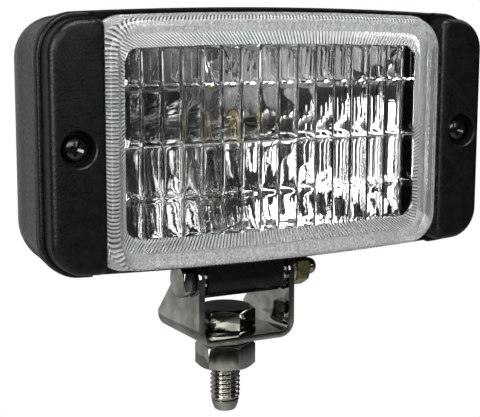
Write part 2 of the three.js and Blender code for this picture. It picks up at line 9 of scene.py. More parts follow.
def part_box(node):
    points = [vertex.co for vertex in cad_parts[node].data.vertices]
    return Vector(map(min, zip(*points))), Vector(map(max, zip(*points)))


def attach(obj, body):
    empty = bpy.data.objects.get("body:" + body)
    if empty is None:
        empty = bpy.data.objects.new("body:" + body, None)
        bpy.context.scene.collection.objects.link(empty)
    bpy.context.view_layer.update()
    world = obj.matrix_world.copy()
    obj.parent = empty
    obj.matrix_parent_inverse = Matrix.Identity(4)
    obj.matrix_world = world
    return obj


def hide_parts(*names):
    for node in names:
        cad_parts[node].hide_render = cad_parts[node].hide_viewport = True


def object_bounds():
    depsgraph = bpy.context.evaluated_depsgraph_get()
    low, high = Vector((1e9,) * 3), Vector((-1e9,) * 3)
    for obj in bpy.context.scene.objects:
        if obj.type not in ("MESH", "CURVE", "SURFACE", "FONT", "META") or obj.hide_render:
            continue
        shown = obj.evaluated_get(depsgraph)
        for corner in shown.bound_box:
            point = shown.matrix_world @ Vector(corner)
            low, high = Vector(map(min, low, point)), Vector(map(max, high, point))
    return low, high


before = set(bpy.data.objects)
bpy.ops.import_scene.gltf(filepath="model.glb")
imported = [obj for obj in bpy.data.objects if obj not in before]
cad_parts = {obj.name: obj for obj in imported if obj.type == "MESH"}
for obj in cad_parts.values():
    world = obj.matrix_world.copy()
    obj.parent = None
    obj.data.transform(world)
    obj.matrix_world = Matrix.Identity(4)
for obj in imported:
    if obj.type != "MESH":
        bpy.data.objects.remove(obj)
cad_low, cad_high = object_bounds()
MM = 0.001


# ---- Sizes, worked out from the frame ----

def node_box(name):
    """Lowest corner, highest corner and centre of a CAD node."""
    low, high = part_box(name)
    return low, high, (low + high) / 2


HOUSING_LOW, HOUSING_HIGH, _ = node_box("rear_housing")
LENS_LOW, LENS_HIGH, LENS_MID = node_box("lens")
_, _, SCREW_MID = node_box("right_cap_screw")
MIRROR_LOW, MIRROR_HIGH, _ = node_box("reflector")
_, BRACKET_HIGH, _ = node_box("u_bracket")
SLEEVE_LOW, SLEEVE_HIGH, PIVOT = node_box("pivot_sleeve")
_, _, INLET = node_box("cable_grommet")

HEAD_HALF_W = HOUSING_HIGH.x
HEAD_Z = LENS_MID.z
HEAD_HALF_H = HOUSING_HIGH.z - HEAD_Z
HEAD_CROWN = 2.1 * MM  # how much lower the head is at its ends than in its middle
HEAD_CORNER = 11.6 * MM
RIM_Y = HOUSING_LOW.y
BACK_Y = HOUSING_HIGH.y
STRAIGHT_Y = RIM_Y + 12 * MM  # where the bowl starts to turn in
WALL = 2.4 * MM
FACE_Y = LENS_LOW.y
MAIN_HALF_W, MAIN_HALF_H, MAIN_CORNER = 49.2 * MM, 27.4 * MM, 4.5 * MM  # the lens's fluted window
THROUGH = 0.05  # half the length of a cutter that has to pass right through
ON_AXIS = 1e-6  # radius of a turned piece's pole
ORIGIN = Vector((0, 0, 0))
PIVOT_AXIS = Vector((0, PIVOT.y, PIVOT.z))


# ---- Mesh helpers ----

def new_object(name, vertices, faces):
    """A mesh object with smooth faces, merged corners and outward normals."""
    mesh = bpy.data.meshes.new(name)
    mesh.from_pydata([tuple(v) for v in vertices], [], faces)
    mesh.validate()
    bm = bmesh.new()
    bm.from_mesh(mesh)
    bmesh.ops.remove_doubles(bm, verts=bm.verts, dist=1e-7)
    bmesh.ops.recalc_face_normals(bm, faces=bm.faces)
    bm.to_mesh(mesh)
    bm.free()
    mesh.polygons.foreach_set("use_smooth", [True] * len(mesh.polygons))
    piece = bpy.data.objects.new(name, mesh)
    bpy.context.scene.collection.objects.link(piece)
    return piece


def band(a, b, count):
    """Quads between two rings of vertices that start at the numbers a and b."""
    return [(a + j, a + (j + 1) % count, b + (j + 1) % count, b + j) for j in range(count)]


def loft(name, rings, closed=False):
    """A skin through rings of equal length: capped at its ends, or, if closed, joined end to start."""
    count = len(rings[0])
    vertices = [p for ring in rings for p in ring]
    faces = []
    spans = len(rings) if closed else len(rings) - 1
    for i in range(spans):
        faces += band(i * count, (i + 1) % len(rings) * count, count)
    if not closed:
        faces.append(tuple(range(count)))
        faces.append(tuple(range(len(vertices) - count, len(vertices))))
    return new_object(name, vertices, faces)


def turned(name, profile, axis, centre, sides=64, closed=False):
    """A turned piece. Profile points are (radius, distance along the axis)."""
    rings = []
    for radius, along in profile:
        ring = []
        for i in range(sides):
            angle = 2 * math.pi * i / sides
            u, v = radius * math.cos(angle), radius * math.sin(angle)
            offset = {"x": (along, u, v), "y": (u, along, v), "z": (u, v, along)}[axis]
            ring.append(centre + Vector(offset))
        rings.append(ring)
    return loft(name, rings, closed)


def prism(name, outline, axis, low, high):
    """An outline of (u, v) points carried along an axis: (y, z) for x, (x, z) for y, (x, y) for z."""
    def at(u, v, w):
        return {"x": (w, u, v), "y": (u, w, v), "z": (u, v, w)}[axis]
    return loft(name, [[at(u, v, w) for u, v in outline] for w in (low, high)])


def apply_modifiers(piece):
    """Turns a piece's modifiers into its mesh."""
    bpy.context.view_layer.update()
    evaluated = piece.evaluated_get(bpy.context.evaluated_depsgraph_get())
    mesh = bpy.data.meshes.new_from_object(evaluated)
    piece.modifiers.clear()
    piece.data = mesh
    return piece


def boolean(piece, other, operation):
    """Cuts, joins or intersects a piece with another, which is used up."""
    modifier = piece.modifiers.new("cut", "BOOLEAN")
    modifier.operation = operation
    modifier.solver = "EXACT"
    modifier.object = other
    apply_modifiers(piece)
    bpy.data.objects.remove(other)
    return piece


def bevel(piece, width, segments, angle):
    """Rounds the edges sharper than an angle."""
    modifier = piece.modifiers.new("edges", "BEVEL")
    modifier.width = width
    modifier.segments = segments
    modifier.limit_method = "ANGLE"
    modifier.angle_limit = math.radians(angle)
    modifier.harden_normals = False
    apply_modifiers(piece)
    return smooth_by_angle(piece)


def smooth_by_angle(piece, angle=35):
    """Smooth shading, with edges sharper than the angle kept crisp."""
    mesh = piece.data
    mesh.polygons.foreach_set("use_smooth", [True] * len(mesh.polygons))
    bm = bmesh.new()
    bm.from_mesh(mesh)
    for edge in bm.edges:
        edge.smooth = len(edge.link_faces) != 2 or edge.calc_face_angle(0) < math.radians(angle)
    bm.to_mesh(mesh)
    bm.free()
    return piece


def hexagon(flats, turn):
    """A hexagon whose first corner lies at an angle, in degrees."""
    radius = flats / math.sqrt(3)
    angles = [math.radians(turn + 60 * i) for i in range(6)]
    return [(radius * math.cos(angle), radius * math.sin(angle)) for angle in angles]


def turn_to_axis(piece, axis, centre):
    """Turns a piece made along +Z about the origin so that it lies along an axis through a centre."""
    rotation = {"z": Matrix.Identity(4), "x": Matrix.Rotation(math.pi / 2, 4, "Y"),
                "-x": Matrix.Rotation(-math.pi / 2, 4, "Y")}[axis]
    piece.data.transform(Matrix.Translation(centre) @ rotation)
    return piece


# ---- Outlines ----

def quarter_turn(steps):
    """Angles from 0 to a quarter turn, both included."""
    return [step / steps * math.pi / 2 for step in range(steps + 1)]


def rectangle(u0, u1, v0, v1):
    return [(u0, v0), (u1, v0), (u1, v1), (u0, v1)]


def arc(centre_u, centre_v, radius, start, end, steps):
    """Points on an arc, angles in degrees, both ends included."""
    points = []
    for i in range(steps + 1):
        angle = math.radians(start + (end - start) * i / steps)
        points.append((centre_u + radius * math.cos(angle), centre_v + radius * math.sin(angle)))
    return points


def crowned(x0, x1, half_h, left_r, right_r, steps=10, span=24):
    """A round-cornered rectangle, about the head's centre, whose long edges follow the head's crown."""
    def edge(x):
        return half_h - HEAD_CROWN * (x / HEAD_HALF_W) ** 2

    def along(start, end, sign):
        inner = [start + (end - start) * i / span for i in range(1, span)]
        return [(x, sign * edge(x)) for x in inner]
    left, right = x0 + left_r, x1 - right_r
    points = arc(right, edge(right) - right_r, right_r, 0, 90, steps)
    points += along(right, left, 1)
    points += arc(left, edge(left) - left_r, left_r, 90, 180, steps)
    points += arc(left, left_r - edge(left), left_r, 180, 270, steps)
    points += along(left, right, -1)
    points += arc(right, right_r - edge(right), right_r, 270, 360, steps)
    return points


def ring_at(outline, y):
    """An outline about the head's centre, as points at one depth."""
    return [(x, y, HEAD_Z + z) for x, z in outline]


# ---- Procedural materials ----

def nodes_of(material):
    tree = material.node_tree
    return tree.nodes, tree.links, tree.nodes["Principled BSDF"]


def new_material(name, **inputs):
    material = bpy.data.materials.new(name)
    material.use_nodes = True
    shader = material.node_tree.nodes["Principled BSDF"]
    for key, value in inputs.items():
        shader.inputs[key.replace("_", " ")].default_value = value
    return material


def noise_of(material, scale, detail=4.0, stretch=(1, 1, 1)):
    """A noise texture in the object's own metres."""
    nodes, links, _ = nodes_of(material)
    place = nodes.new("ShaderNodeTexCoord")
    mapping = nodes.new("ShaderNodeMapping")
    mapping.inputs["Scale"].default_value = stretch
    noise = nodes.new("ShaderNodeTexNoise")
    noise.inputs["Scale"].default_value = scale
    noise.inputs["Detail"].default_value = detail
    links.new(place.outputs["Object"], mapping.inputs["Vector"])
    links.new(mapping.outputs["Vector"], noise.inputs["Vector"])
    return noise.outputs["Fac"]


def add_bump(material, height, distance):
    """A bump from a height texture."""
    nodes, links, shader = nodes_of(material)
    bump = nodes.new("ShaderNodeBump")
    bump.inputs["Distance"].default_value = distance
    bump.inputs["Strength"].default_value = 1.0
    links.new(height, bump.inputs["Height"])
    links.new(bump.outputs["Normal"], shader.inputs["Normal"])


def add_ramp(material, factor, socket, low, high, start=0.35, end=0.65):
    """Drives a shader socket from a noise: a colour from two colours, or a number from two numbers."""
    nodes, links, shader = nodes_of(material)
    if isinstance(low, (int, float)):
        ranged = nodes.new("ShaderNodeMapRange")
        ranged.inputs["From Min"].default_value = start
        ranged.inputs["From Max"].default_value = end
        ranged.inputs["To Min"].default_value = low
        ranged.inputs["To Max"].default_value = high
        links.new(factor, ranged.inputs["Value"])
        links.new(ranged.outputs["Result"], shader.inputs[socket])
        return
    ramp = nodes.new("ShaderNodeValToRGB")
    ramp.color_ramp.elements[0].position = start
    ramp.color_ramp.elements[0].color = (*low, 1)
    ramp.color_ramp.elements[1].position = end
    ramp.color_ramp.elements[1].color = (*high, 1)
    links.new(factor, ramp.inputs["Fac"])
    links.new(ramp.outputs["Color"], shader.inputs[socket])


def moulded_plastic():
    """Black plastic with a fine spark-eroded grain."""
    material = new_material("black_moulded_plastic", IOR=1.45, Specular_IOR_Level=0.22)
    add_ramp(material, noise_of(material, 260, 3), "Base Color",
             (0.0022, 0.0024, 0.0024), (0.0045, 0.0048, 0.0047))
    add_ramp(material, noise_of(material, 900, 2), "Roughness", 0.24, 0.35)
    add_bump(material, noise_of(material, 1700, 3), 0.00009)
    return material


def steel(name, colour, dark, roughness, grain=(1, 1, 1)):
    """Rolled or machined steel with faint lines along the grain."""
    material = new_material(name, Metallic=1.0)
    add_ramp(material, noise_of(material, 160, 5), "Base Color", dark, colour)
    add_ramp(material, noise_of(material, 700, 4, grain), "Roughness", *roughness)
    add_bump(material, noise_of(material, 2200, 2, grain), 0.000012)
    return material


def clear_glass(name, wave=0.00002, tint=(0.97, 0.985, 0.98, 1)):
    material = new_material(name, Base_Color=tint, Roughness=0.0, IOR=1.5, Transmission_Weight=1.0)
    add_bump(material, noise_of(material, 240, 2), wave)
    return material


def frosted_knurls_painted_groove_shade():
    """The pressed inner side of the lens's rim, which scatters light; its base colour is darker where
    "groove" is low, which is painted shade along each knurl.
    """
    material = new_material("frosted_knurls_painted_groove_shade", IOR=1.5)
    nodes, links, _ = nodes_of(material)
    groove = nodes.new("ShaderNodeAttribute")
    groove.attribute_name = "groove"
    uneven = nodes.new("ShaderNodeMath")
    uneven.operation = "ADD"
    links.new(groove.outputs["Fac"], uneven.inputs[0])
    links.new(noise_of(material, 2400, 2), uneven.inputs[1])
    # painted shade: the base colour follows the knurl wave in "groove" and is darker where it is low; the
    # added noise is random tone
    add_ramp(material, uneven.outputs[0], "Base Color", (0.26, 0.27, 0.275), (0.98, 0.99, 0.99), -0.1, 0.7)
    add_ramp(material, uneven.outputs[0], "Transmission Weight", 0.7, 0.1, -0.4, 0.8)
    add_ramp(material, noise_of(material, 1200, 3), "Roughness", 0.02, 0.1)
    add_bump(material, noise_of(material, 1300, 2), 0.00005)
    return material


def metallised():
    """The mirror coating, slightly wavy and uneven."""
    material = new_material("metallised_mirror", Metallic=1.0, Roughness=0.03)
    add_ramp(material, noise_of(material, 60, 3), "Base Color", (0.50, 0.50, 0.48), (0.74, 0.74, 0.73))
    add_bump(material, noise_of(material, 320, 3), 0.00003)
    return material


def soft_rubber():
    material = new_material("black_rubber", Roughness=0.75)
    add_ramp(material, noise_of(material, 500, 4), "Base Color", (0.008, 0.008, 0.008), (0.016, 0.016, 0.017))
    add_bump(material, noise_of(material, 1800, 3), 0.00005)
    return material


def glossy_black():
    material = new_material("glossy_black_plate", Roughness=0.16, IOR=1.6)
    add_ramp(material, noise_of(material, 1200, 3), "Base Color",
             (0.002, 0.002, 0.002), (0.006, 0.006, 0.006))
    add_bump(material, noise_of(material, 1500, 2), 0.00001)
    return material


PLASTIC = moulded_plastic()
STAINLESS = steel("polished_stainless", (0.50, 0.49, 0.45), (0.24, 0.235, 0.21), (0.04, 0.14), (1, 1, 0.06))
BRIGHT = steel("bright_steel", (0.62, 0.62, 0.60), (0.42, 0.42, 0.41), (0.18, 0.34))
YELLOW_ZINC = steel("yellow_zinc", (0.36, 0.33, 0.13), (0.20, 0.19, 0.08), (0.22, 0.4))
TUNGSTEN = steel("tungsten", (0.30, 0.30, 0.31), (0.18, 0.18, 0.19), (0.3, 0.5))
BRASS = steel("bulb_base_metal", (0.62, 0.50, 0.22), (0.42, 0.33, 0.13), (0.2, 0.35))
BLACK_SCREW = glossy_black()
RUBBER = soft_rubber()
LENS_GLASS = clear_glass("pressed_lens_glass")
KNURLED_GLASS = frosted_knurls_painted_groove_shade()
QUARTZ = clear_glass("quartz", 0.000005, (1, 1, 1, 1))
MIRROR = metallised()


def finish_piece(piece, body, material, slot, *replaced):
    if material:
        piece.data.materials.clear()
        piece.data.materials.append(material)
    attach(piece, body)
    if replaced:
        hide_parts(*replaced)
    return piece


# ---- Rear housing ----

STRAIGHT_RINGS = 4
RIM_CHAMFER = 0.5 * MM


def bowl_rings(inset, front, back, steps):
    """Rings from the front rim along the straight sides and round the bowl to the flat back plate."""
    outline = crowned(-HEAD_HALF_W, HEAD_HALF_W, HEAD_HALF_H, HEAD_CORNER, HEAD_CORNER)
    bowl_half_w, bowl_half_h, full_turn, draft = 29 * MM, 12 * MM, 1.33, 1 * MM
    rings = []
    for i in range(STRAIGHT_RINGS):
        share = i / STRAIGHT_RINGS
        lean = draft * share
        y = front + (STRAIGHT_Y - front) * share
        scale_x = (HEAD_HALF_W - lean - inset) / HEAD_HALF_W
        scale_z = (HEAD_HALF_H - lean - inset) / HEAD_HALF_H
        rings.append(ring_at([(x * scale_x, z * scale_z) for x, z in outline], y))
    for i in range(steps + 1):
        turn = full_turn * i / steps
        half_w = bowl_half_w + (HEAD_HALF_W - draft - bowl_half_w) * math.cos(turn) - inset
        half_h = bowl_half_h + (HEAD_HALF_H - draft - bowl_half_h) * math.cos(turn) - inset
        y = STRAIGHT_Y + (back - STRAIGHT_Y) * math.sin(turn) / math.sin(full_turn)
        narrowed = [(x * half_w / HEAD_HALF_W, z * half_h / HEAD_HALF_H) for x, z in outline]
        rings.append(ring_at(narrowed, y))
    return rings


def shrink(ring, amount):
    """Moves a ring's points towards the head's centre line."""
    half_w = max(abs(p[0]) for p in ring)
    half_h = max(abs(p[2] - HEAD_Z) for p in ring)
    return [(x * (1 - amount / half_w), y, HEAD_Z + (z - HEAD_Z) * (1 - amount / half_h))
            for x, y, z in ring]


def make_housing():
    """The bowl with its lug below, the lug's bore, and the cable inlet in the back."""
    edge_r, lug_wall, bore_play, inlet_r = 1.1 * MM, 2.5 * MM, 0.3 * MM, 4.5 * MM
    outer = bowl_rings(0, RIM_Y + RIM_CHAMFER, BACK_Y - edge_r, 22)
    inner = bowl_rings(WALL, RIM_Y + RIM_CHAMFER, BACK_Y - WALL, 12)
    rounded = []
    for share in (0.35, 0.7, 1.0):
        angle = share * math.pi / 2
        inward = shrink(outer[-1], edge_r * (1 - math.cos(angle)) + edge_r * math.sin(angle) * 0.4)
        rounded.append([(x, BACK_Y - edge_r + edge_r * math.sin(angle), z) for x, _, z in inward])
    rim = [[(x, RIM_Y, z) for x, _, z in shrink(outer[0], RIM_CHAMFER)]]
    shell = loft("housing_shell", list(reversed(inner)) + rim + outer + rounded)
    lug_top = HEAD_Z - 34.2 * MM
    lug_r = (SLEEVE_HIGH.z - SLEEVE_LOW.z) / 2 + lug_wall
    side = arc(PIVOT.y, PIVOT.z, lug_r, 180, 360, 24)
    side += [(PIVOT.y + lug_r, lug_top), (PIVOT.y - lug_r, lug_top)]
    boolean(shell, prism("lug", side, "x", SLEEVE_LOW.x, SLEEVE_HIGH.x), "UNION")
    bore_r = SLEEVE_HIGH.z - PIVOT.z + bore_play
    bore = turned("bore", [(bore_r, -THROUGH), (bore_r, THROUGH)], "x", PIVOT_AXIS)
    boolean(shell, bore, "DIFFERENCE")
    inlet_start = Vector((INLET.x, 10 * MM, INLET.z))
    inlet = turned("inlet", [(inlet_r, 0), (inlet_r, THROUGH)], "y", inlet_start, 48)
    boolean(shell, inlet, "DIFFERENCE")
    smooth_by_angle(shell, 40)
    return finish_piece(shell, "head", PLASTIC, "black_textured_plastic", "rear_housing")


# ---- End caps and screws ----

def make_cap(side, word):
    """A raised pad with soft edges on a narrow ledge."""
    _, high, _ = node_box(f"{word}_end_cap")
    inner_x, pad_x, inner_r = 55.6 * MM, 71.6 * MM, 2.4 * MM
    pad_half_h, pad_r, pad_fillet = 36.1 * MM, 9.6 * MM, 2.6 * MM
    ledge_y, ledge_drop, ledge_inset = RIM_Y - 3 * MM, MM, 0.9 * MM

    def outline(inset, outer_x, half_h, outer_r):
        inner, outer = inner_x + inset * 0.6, outer_x - inset
        corner = max(outer_r - inset, MM)
        if side > 0:
            return crowned(inner, outer, half_h - inset, inner_r, corner, 12, 10)
        return crowned(-outer, -inner, half_h - inset, corner, inner_r, 12, 10)

    def ledge(inset, y):
        return ring_at(outline(inset, HEAD_HALF_W, HEAD_HALF_H, HEAD_CORNER), y)

    def pad(inset, y):
        return ring_at(outline(inset, pad_x, pad_half_h, pad_r), y)
    rings = [ledge(0, high.y), ledge(0, ledge_y + ledge_drop)]
    for angle in [step * math.pi / 6 for step in (1, 2, 3)]:
        rings.append(ledge(ledge_inset * (1 - math.cos(angle)),
                           ledge_y + ledge_drop - ledge_drop * math.sin(angle)))
    rings += [pad(-0.1 * MM, ledge_y + 0.15 * MM), pad(0, ledge_y - 0.25 * MM)]
    for angle in quarter_turn(8):
        rings.append(pad(pad_fillet * (1 - math.cos(angle)),
                         FACE_Y + pad_fillet - pad_fillet * math.sin(angle)))
    cap = loft(f"{word}_cap_shell", rings)
    lens_play, rebate_y, rebate_start = 0.3 * MM, FACE_Y + 6.5 * MM, 20 * MM
    x0, x1 = sorted((side * rebate_start, side * (LENS_HIGH.x + lens_play)))
    seat = rectangle(x0, x1, HEAD_Z - THROUGH, HEAD_Z + THROUGH)
    boolean(cap, prism("rebate", seat, "y", rebate_y, 0), "DIFFERENCE")
    centre = Vector((side * SCREW_MID.x, 0, HEAD_Z))
    mouth_r, throat_r, floor_r, hole_r = 5.35 * MM, 5.0 * MM, 4.9 * MM, 2 * MM
    well = turned("well", [(mouth_r, FACE_Y - MM), (mouth_r, FACE_Y), (throat_r, FACE_Y + 0.35 * MM),
                           (floor_r, FACE_Y + 4.2 * MM)], "y", centre, 64)
    boolean(cap, well, "DIFFERENCE")
    hole = turned("hole", [(hole_r, FACE_Y), (hole_r, 0)], "y", centre, 32)
    boolean(cap, hole, "DIFFERENCE")
    smooth_by_angle(cap, 38)
    return finish_piece(cap, "head", PLASTIC, "black_textured_plastic", f"{word}_end_cap")


def make_screw(word):
    """A pan-head screw with a cross recess and a threaded shank."""
    low, high, middle = node_box(f"{word}_cap_screw")
    centre = Vector((middle.x, 0, middle.z))
    head_r, head_edge = (high.z - low.z) / 2, 0.2 * MM
    thread_r, root_r, tip_r, tip_length = 1.7 * MM, 1.35 * MM, 1.2 * MM, 1.2 * MM
    dome_share, dome_power, turns, runout = 0.75, 1.1, 9, 2 * MM
    seat, top = FACE_Y + 3.9 * MM, low.y
    profile = []
    for angle in quarter_turn(8):
        drop = (seat - top) * dome_share * (1 - math.cos(angle)) ** dome_power
        profile.append((max(head_r * math.sin(angle), ON_AXIS), top + drop))
    profile += [(head_r, seat - head_edge), (head_r - head_edge, seat), (thread_r, seat)]
    for step in range(turns):
        y = seat + (high.y - seat - runout) * step / turns
        profile += [(thread_r, y + 0.3 * MM), (root_r, y + 0.75 * MM)]
    profile += [(tip_r, high.y - tip_length), (ON_AXIS, high.y)]
    screw = turned(f"{word}_screw_detail", profile, "y", centre, 48)
    arm, half, depth = 2.0 * MM, 0.42 * MM, 1.5 * MM
    section = rectangle(-arm, arm, -half, half)
    for spin in (20, 110):
        slot = loft("slot", [[(u * s, top + d, v * (0.5 + s / 2)) for u, v in section]
                             for s, d in ((1.05, -MM), (1.0, 0.3 * MM), (0.35, depth))])
        slot.data.transform(Matrix.Translation(centre) @ Matrix.Rotation(math.radians(spin), 4, "Y"))
        boolean(screw, slot, "DIFFERENCE")
    smooth_by_angle(screw, 40)
    return finish_piece(screw, "head", BLACK_SCREW, "black_screw", f"{word}_cap_screw")


# ---- Lens ----

FLUTE_PITCH = 6.25 * MM
FLUTE_FILL = 0.975  # share of a round bar's half-width that is used, so that neighbours meet in a groove
ROW_SHARES = (0.21, 0.30, 0.275, 0.215)  # heights of the rows of flutes, from the top
ROW_DEPTHS = (1.0, 0.85, 1.1, 0.9)  # each row's own share of the flutes' depth
FLUTE_SAG, FLUTE_BASE = 1.5 * MM, 0.25 * MM
RECESS = 3.0 * MM  # the fluted window sits this far behind the bead
PLATE_BACK_Y = FACE_Y + 6.0 * MM
KNURLS, SAMPLES_PER_KNURL = 288, 6  # knurls round the rim, 1.2 mm apart
BEAD_HALF_W, BEAD_HALF_H, BEAD_R = 55.2 * MM, 35.6 * MM, 2.6 * MM  # the rounded bead round the front
BACK_HALF_W, BACK_HALF_H, BACK_CORNER = 52.2 * MM, 32.6 * MM, 6.6 * MM  # the opening in the flange's back
FLANGE_CORNER = 9.5 * MM
FLANGE_CHAMFER = 0.3 * MM
RIB_HEIGHT = 0.4 * MM
DISH = ((0.1, 0.06), (0.25, 0.3), (0.55, 0.66), (0.85, 0.94), (1.0, 1.0))  # shares inwards and of RECESS
KNURL_RINGS = 5


def lens_outline(half_w, half_h, corner, samples):
    """A crowned outline with its points spaced evenly by length, so that knurls run round it at one pitch."""
    coarse = crowned(-half_w, half_w, half_h, corner, corner, 16, 40)
    lengths = [0]
    for (x0, z0), (x1, z1) in zip(coarse, coarse[1:] + coarse[:1]):
        lengths.append(lengths[-1] + math.hypot(x1 - x0, z1 - z0))
    points, segment = [], 0
    for i in range(samples):
        target = lengths[-1] * i / samples
        while lengths[segment + 1] < target:
            segment += 1
        share = (target - lengths[segment]) / max(lengths[segment + 1] - lengths[segment], 1e-12)
        (x0, z0), (x1, z1) = coarse[segment], coarse[(segment + 1) % len(coarse)]
        points.append((x0 + (x1 - x0) * share, z0 + (z1 - z0) * share))
    return points


def lens_shell():
    """The flanged dish: a smooth bead round the front, and a knurled slope on the inside."""
    samples = KNURLS * SAMPLES_PER_KNURL
    back = LENS_HIGH.y

    def ring(half_w, half_h, corner, y):
        return ring_at(lens_outline(half_w, half_h, corner, samples), y)
    flange_w, flange_h = LENS_HIGH.x, LENS_HIGH.z - HEAD_Z
    rings = [ring(BACK_HALF_W, BACK_HALF_H, BACK_CORNER, back),
             ring(flange_w, flange_h, FLANGE_CORNER, back),
             ring(flange_w, flange_h, FLANGE_CORNER, back - 1.5 * MM),
             ring(flange_w - FLANGE_CHAMFER, flange_h - FLANGE_CHAMFER, 9.2 * MM, back - 1.8 * MM),
             ring(BEAD_HALF_W, BEAD_HALF_H, FLANGE_CORNER, back - 2.0 * MM)]
    for angle in quarter_turn(6):
        inset = BEAD_R * (1 - math.cos(angle))
        rings.append(ring(BEAD_HALF_W - inset, BEAD_HALF_H - inset, FLANGE_CORNER - inset,
                          FACE_Y + BEAD_R - BEAD_R * math.sin(angle)))
    end_w, end_h = BEAD_HALF_W - BEAD_R, BEAD_HALF_H - BEAD_R
    for across, depth in DISH:
        rings.append(ring(end_w + (MAIN_HALF_W - end_w) * across, end_h + (MAIN_HALF_H - end_h) * across,
                          6.9 * MM - 2.2 * MM * across, FACE_Y + RECESS * depth))
    inner = []
    waves = [math.cos(2 * math.pi * i / SAMPLES_PER_KNURL) for i in range(samples)]
    for step in range(KNURL_RINGS):
        share = step / (KNURL_RINGS - 1)
        base = ring(MAIN_HALF_W + (BACK_HALF_W - MAIN_HALF_W) * share,
                    MAIN_HALF_H + (BACK_HALF_H - MAIN_HALF_H) * share,
                    5 * MM + 1.6 * MM * share, PLATE_BACK_Y + 1.5 * MM * share ** 1.2)
        rib = RIB_HEIGHT * math.sin(math.pi * min(0.15 + share, 1)) ** 0.5
        inner.append([(x, y + rib * wave, z) for (x, y, z), wave in zip(base, waves)])
    inner.append(ring(BACK_HALF_W, BACK_HALF_H, BACK_CORNER, back - 0.3 * MM))
    # the outside runs from the flange's back to the dish, and the inside from the window to the flange
    vertices = [p for r in rings + inner for p in r]
    front_end = len(rings) - 1
    faces = []
    for i in range(front_end):
        faces += band(i * samples, (i + 1) * samples, samples)
    faces.append(tuple(range(front_end * samples, len(rings) * samples)))
    start, knurled_from = len(rings) * samples, len(faces)
    for i in range(len(inner) - 1):
        faces += band(start + i * samples, start + (i + 1) * samples, samples)
    window = len(faces)
    faces.append(tuple(range(start, start + samples)))
    faces += band(start + (len(inner) - 1) * samples, 0, samples)
    shell = new_object("lens_glass", vertices, faces)
    for material in (LENS_GLASS, KNURLED_GLASS):
        shell.data.materials.append(material)
    groove = shell.data.attributes.new("groove", "FLOAT", "POINT")
    groove.data.foreach_set("value", [0.0] * start + waves * (len(inner) - 1) + [0.0] * samples)
    for index, face in enumerate(shell.data.polygons):
        flange_back = index < samples
        face.material_index = int(flange_back or index >= knurled_from and index != window)
    return shell


def flute_height(x, z):
    """How far the flutes stand behind the plate: round bars across X, arched at both ends of each row."""
    across = ((x / FLUTE_PITCH) % 1) * 2 - 1
    bar = math.sqrt(max(1 - (FLUTE_FILL * across) ** 2, 0))
    share = (MAIN_HALF_H - z) / (2 * MAIN_HALF_H)
    top = 0
    for row, height in enumerate(ROW_SHARES):
        if share <= top + height or row == len(ROW_SHARES) - 1:
            break
        top += height
    within = min(max((share - top) / height, 0), 1) * 2 - 1
    arch = math.sqrt(max(1 - abs(within) ** 9, 0))
    return FLUTE_BASE + FLUTE_SAG * ROW_DEPTHS[row] * bar * arch


def flute_panel():
    """A slab whose back is the fluted surface, cut to the main window's outline."""
    columns, rows, slab = 320, 96, 0.8 * MM
    half_w, half_h = MAIN_HALF_W + MM, MAIN_HALF_H + MM
    vertices, faces = [], []
    for i in range(rows + 1):
        z = half_h - 2 * half_h * i / rows
        for j in range(columns + 1):
            x = -half_w + 2 * half_w * j / columns
            vertices.append((x, PLATE_BACK_Y + flute_height(x, z), HEAD_Z + z))
    stride = columns + 1
    for i in range(rows):
        for j in range(columns):
            a = i * stride + j
            faces.append((a, a + 1, a + stride + 1, a + stride))
    count = len(vertices)
    edge = list(range(stride)) + [i * stride + columns for i in range(1, rows + 1)]
    edge += [rows * stride + j for j in range(columns - 1, -1, -1)]
    edge += [i * stride for i in range(rows - 1, 0, -1)]
    vertices += [(vertices[v][0], PLATE_BACK_Y - slab, vertices[v][2]) for v in edge]
    for i in range(len(edge)):
        k = (i + 1) % len(edge)
        faces.append((edge[i], edge[k], count + k, count + i))
    faces.append(tuple(range(count, count + len(edge))))
    panel = new_object("flutes", vertices, faces)
    panel.data.materials.append(LENS_GLASS)
    window = crowned(-MAIN_HALF_W, MAIN_HALF_W, MAIN_HALF_H, MAIN_CORNER, MAIN_CORNER, 12, 8)
    window = [(x, HEAD_Z + z) for x, z in window]
    cutter = prism("window", window, "y", PLATE_BACK_Y - 5 * MM, PLATE_BACK_Y + 5 * MM)
    return boolean(panel, cutter, "INTERSECT")


def make_lens():
    lens = boolean(lens_shell(), flute_panel(), "UNION")
    smooth_by_angle(lens, 30)
    return finish_piece(lens, "head", None, "lens_glass", "lens")


# ---- Bracket and hardware ----

